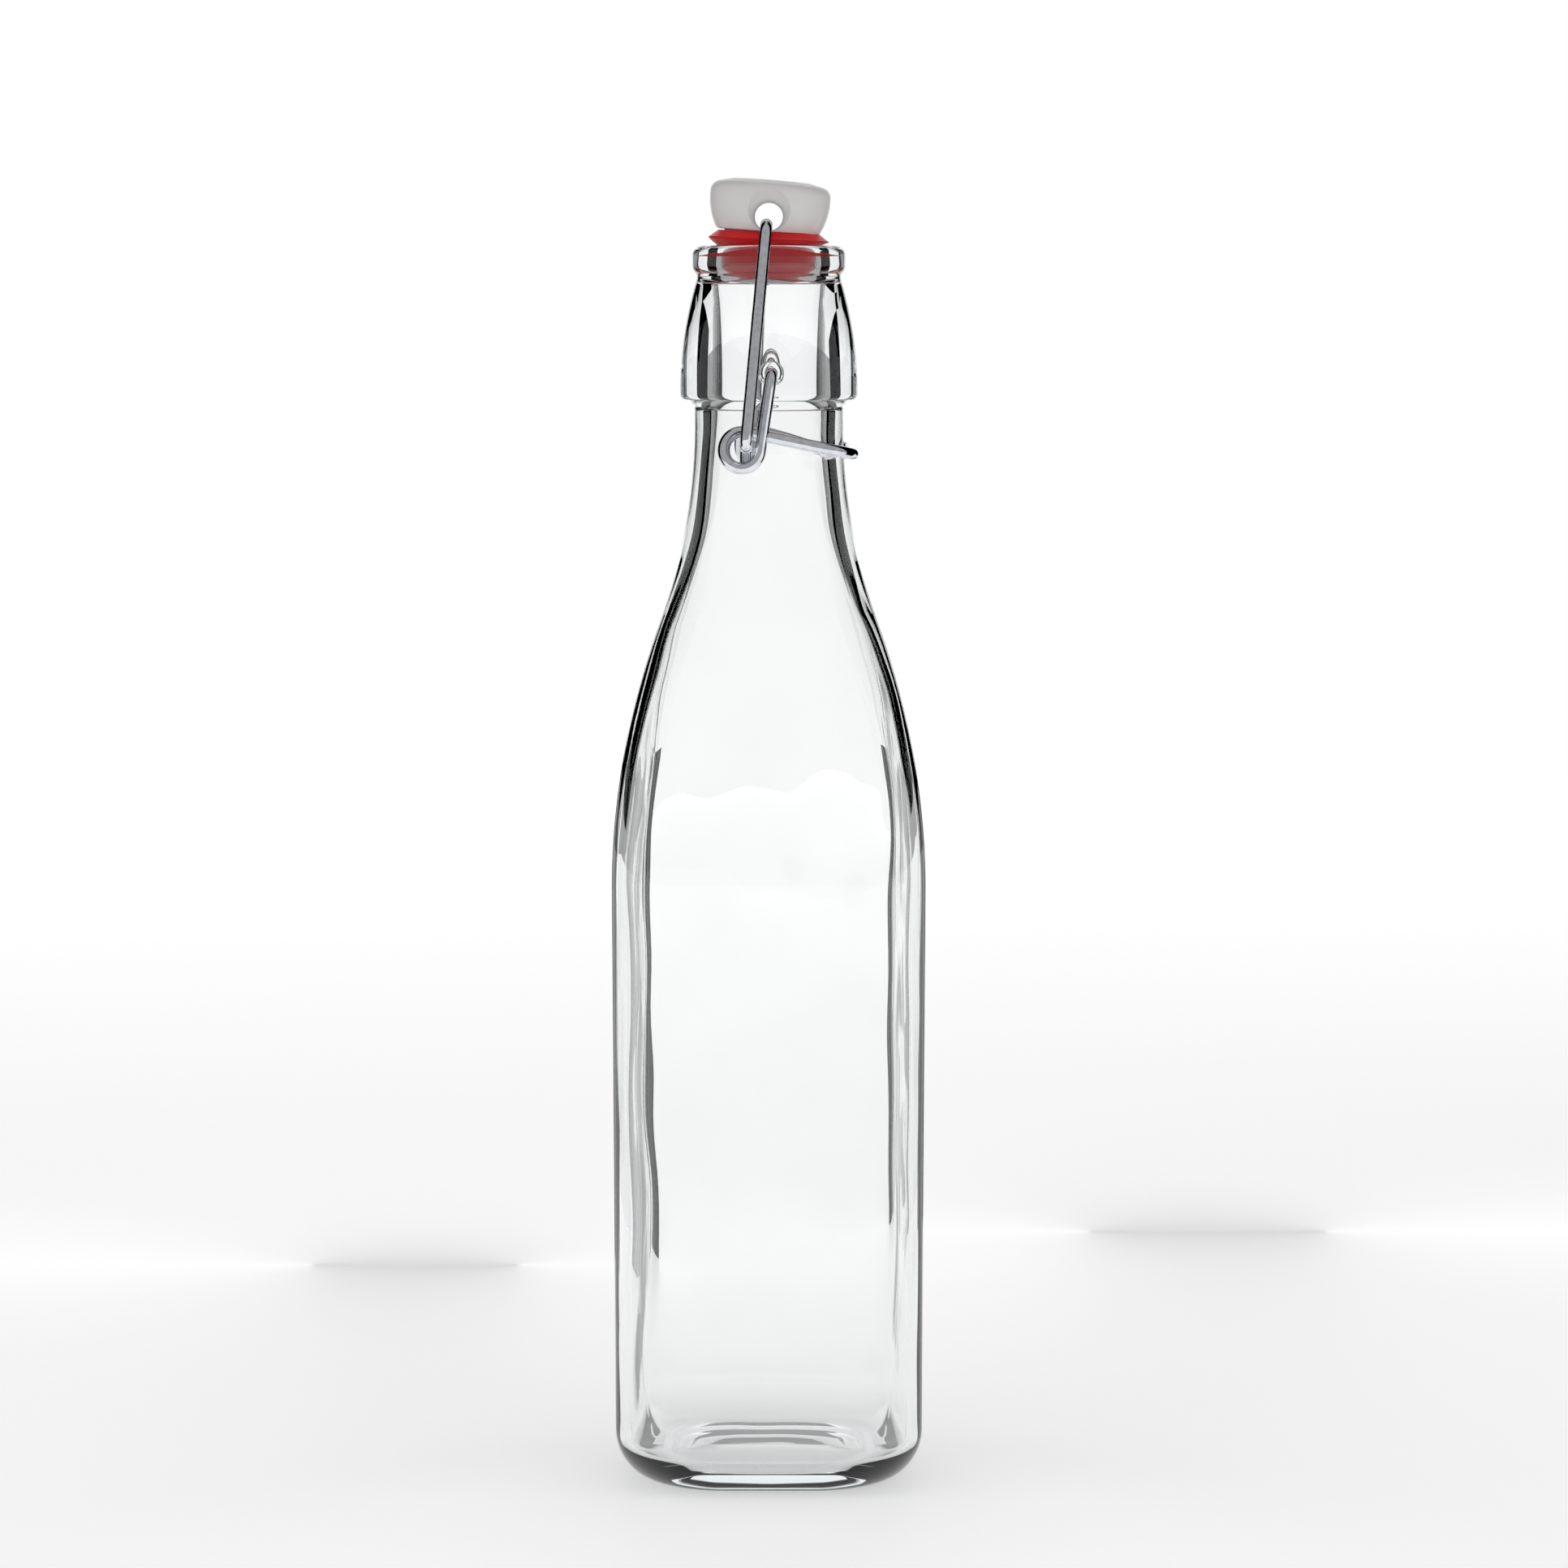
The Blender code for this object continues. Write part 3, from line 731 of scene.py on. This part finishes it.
def make_camera():
    data = bpy.data.cameras.new("camera")
    data.lens = LENS
    data.sensor_width = 36.0
    data.clip_end = 50.0
    camera = bpy.data.objects.new("camera", data)
    bpy.context.scene.collection.objects.link(camera)
    camera.location = Vector((CAMERA_SIDE, -CAMERA_DISTANCE, CAMERA_HEIGHT)) * MM
    camera.rotation_euler = (math.radians(90.0 - CAMERA_PITCH), 0.0, 0.0)
    bpy.context.scene.camera = camera
    return camera


def make_world():
    """White to the camera, softer to other rays and softest to reflections."""
    world = bpy.data.worlds.new("studio")
    bpy.context.scene.world = world
    world.use_nodes = True
    nodes, links = world.node_tree.nodes, world.node_tree.links
    background = nodes["Background"]
    background.inputs["Color"].default_value = (1.0, 1.0, 1.0, 1.0)
    path = nodes.new("ShaderNodeLightPath")
    level = nodes.new("ShaderNodeMapRange")
    level.inputs["To Min"].default_value = ROOM_LIGHT
    level.inputs["To Max"].default_value = 1.0
    mirrored_level = nodes.new("ShaderNodeMath")
    mirrored_level.operation = "MULTIPLY_ADD"
    mirrored_level.inputs[1].default_value = MIRRORED_LIGHT - ROOM_LIGHT
    links.new(path.outputs["Is Camera Ray"], level.inputs["Value"])
    links.new(path.outputs["Is Glossy Ray"], mirrored_level.inputs[0])
    links.new(level.outputs["Result"], mirrored_level.inputs[2])
    links.new(mirrored_level.outputs["Value"], background.inputs["Strength"])


def make_floor():
    data = bpy.data.meshes.new("floor")
    reach = 1.4
    low = -0.0002
    data.from_pydata([(-reach, -reach, low), (reach, -reach, low), (reach, reach, low), (-reach, reach, low)],
                     [], [(0, 1, 2, 3)])
    material, nodes, links, shader = node_material("pale_floor")
    shader.inputs["Base Color"].default_value = (0.9, 0.9, 0.9, 1.0)
    shader.inputs["Roughness"].default_value = 0.7
    shader.inputs["Emission Color"].default_value = (1.0, 1.0, 1.0, 1.0)
    shader.inputs["Emission Strength"].default_value = 0.43
    data.materials.append(material)
    floor = bpy.data.objects.new("floor", data)
    bpy.context.scene.collection.objects.link(floor)


def make_stage():
    camera = make_camera()
    make_world()
    make_floor()
    depth = CAMERA_DISTANCE + CARD_DISTANCE
    white = emitter("backdrop_white", (1.0, 1.0, 1.0), BACKDROP_LIGHT)
    black = emitter("flag_black", (0.0, 0.0, 0.0), 0.0)
    tall = CARD_TALL
    card("backdrop", (-CARD_HALF_WIDTH, -tall), (CARD_HALF_WIDTH, tall), depth, white, camera, True)
    reach = {"upper": (FLAG_SPLIT, tall), "lower": (-tall, FLAG_SPLIT)}
    for level, (inner_deg, outer_deg) in FLAG_DEG.items():
        low, high = reach[level]
        for side, distance in FLAG_DISTANCE.items():
            edges = sorted(side * distance * math.tan(math.radians(angle))
                           for angle in (inner_deg, outer_deg))
            card("flag", (edges[0], low), (edges[1], high), CAMERA_DISTANCE + distance,
                 black, camera, True)
    near, far = (CAMERA_DISTANCE + offset for offset in SIDE_FLAG_DEPTH)
    for side in (-SIDE_FLAG_REACH, SIDE_FLAG_REACH):
        corners = [(side, -tall, -near), (side, -tall, -far), (side, tall, -far), (side, tall, -near)]
        flag = camera_card("side_flag", corners, black, camera, True)
        flag.visible_transmission = False
        flag.visible_diffuse = False
    bpy.context.scene.view_settings.view_transform = "Standard"
    bpy.context.scene.cycles.max_bounces = LIGHT_BOUNCES
    bpy.context.scene.cycles.transmission_bounces = LIGHT_BOUNCES


def main():
    make_stage()
    make_bottle(glass_material())
    make_stopper(plastic_material())
    make_gasket(rubber_material())
    make_wires(steel_material())


main()
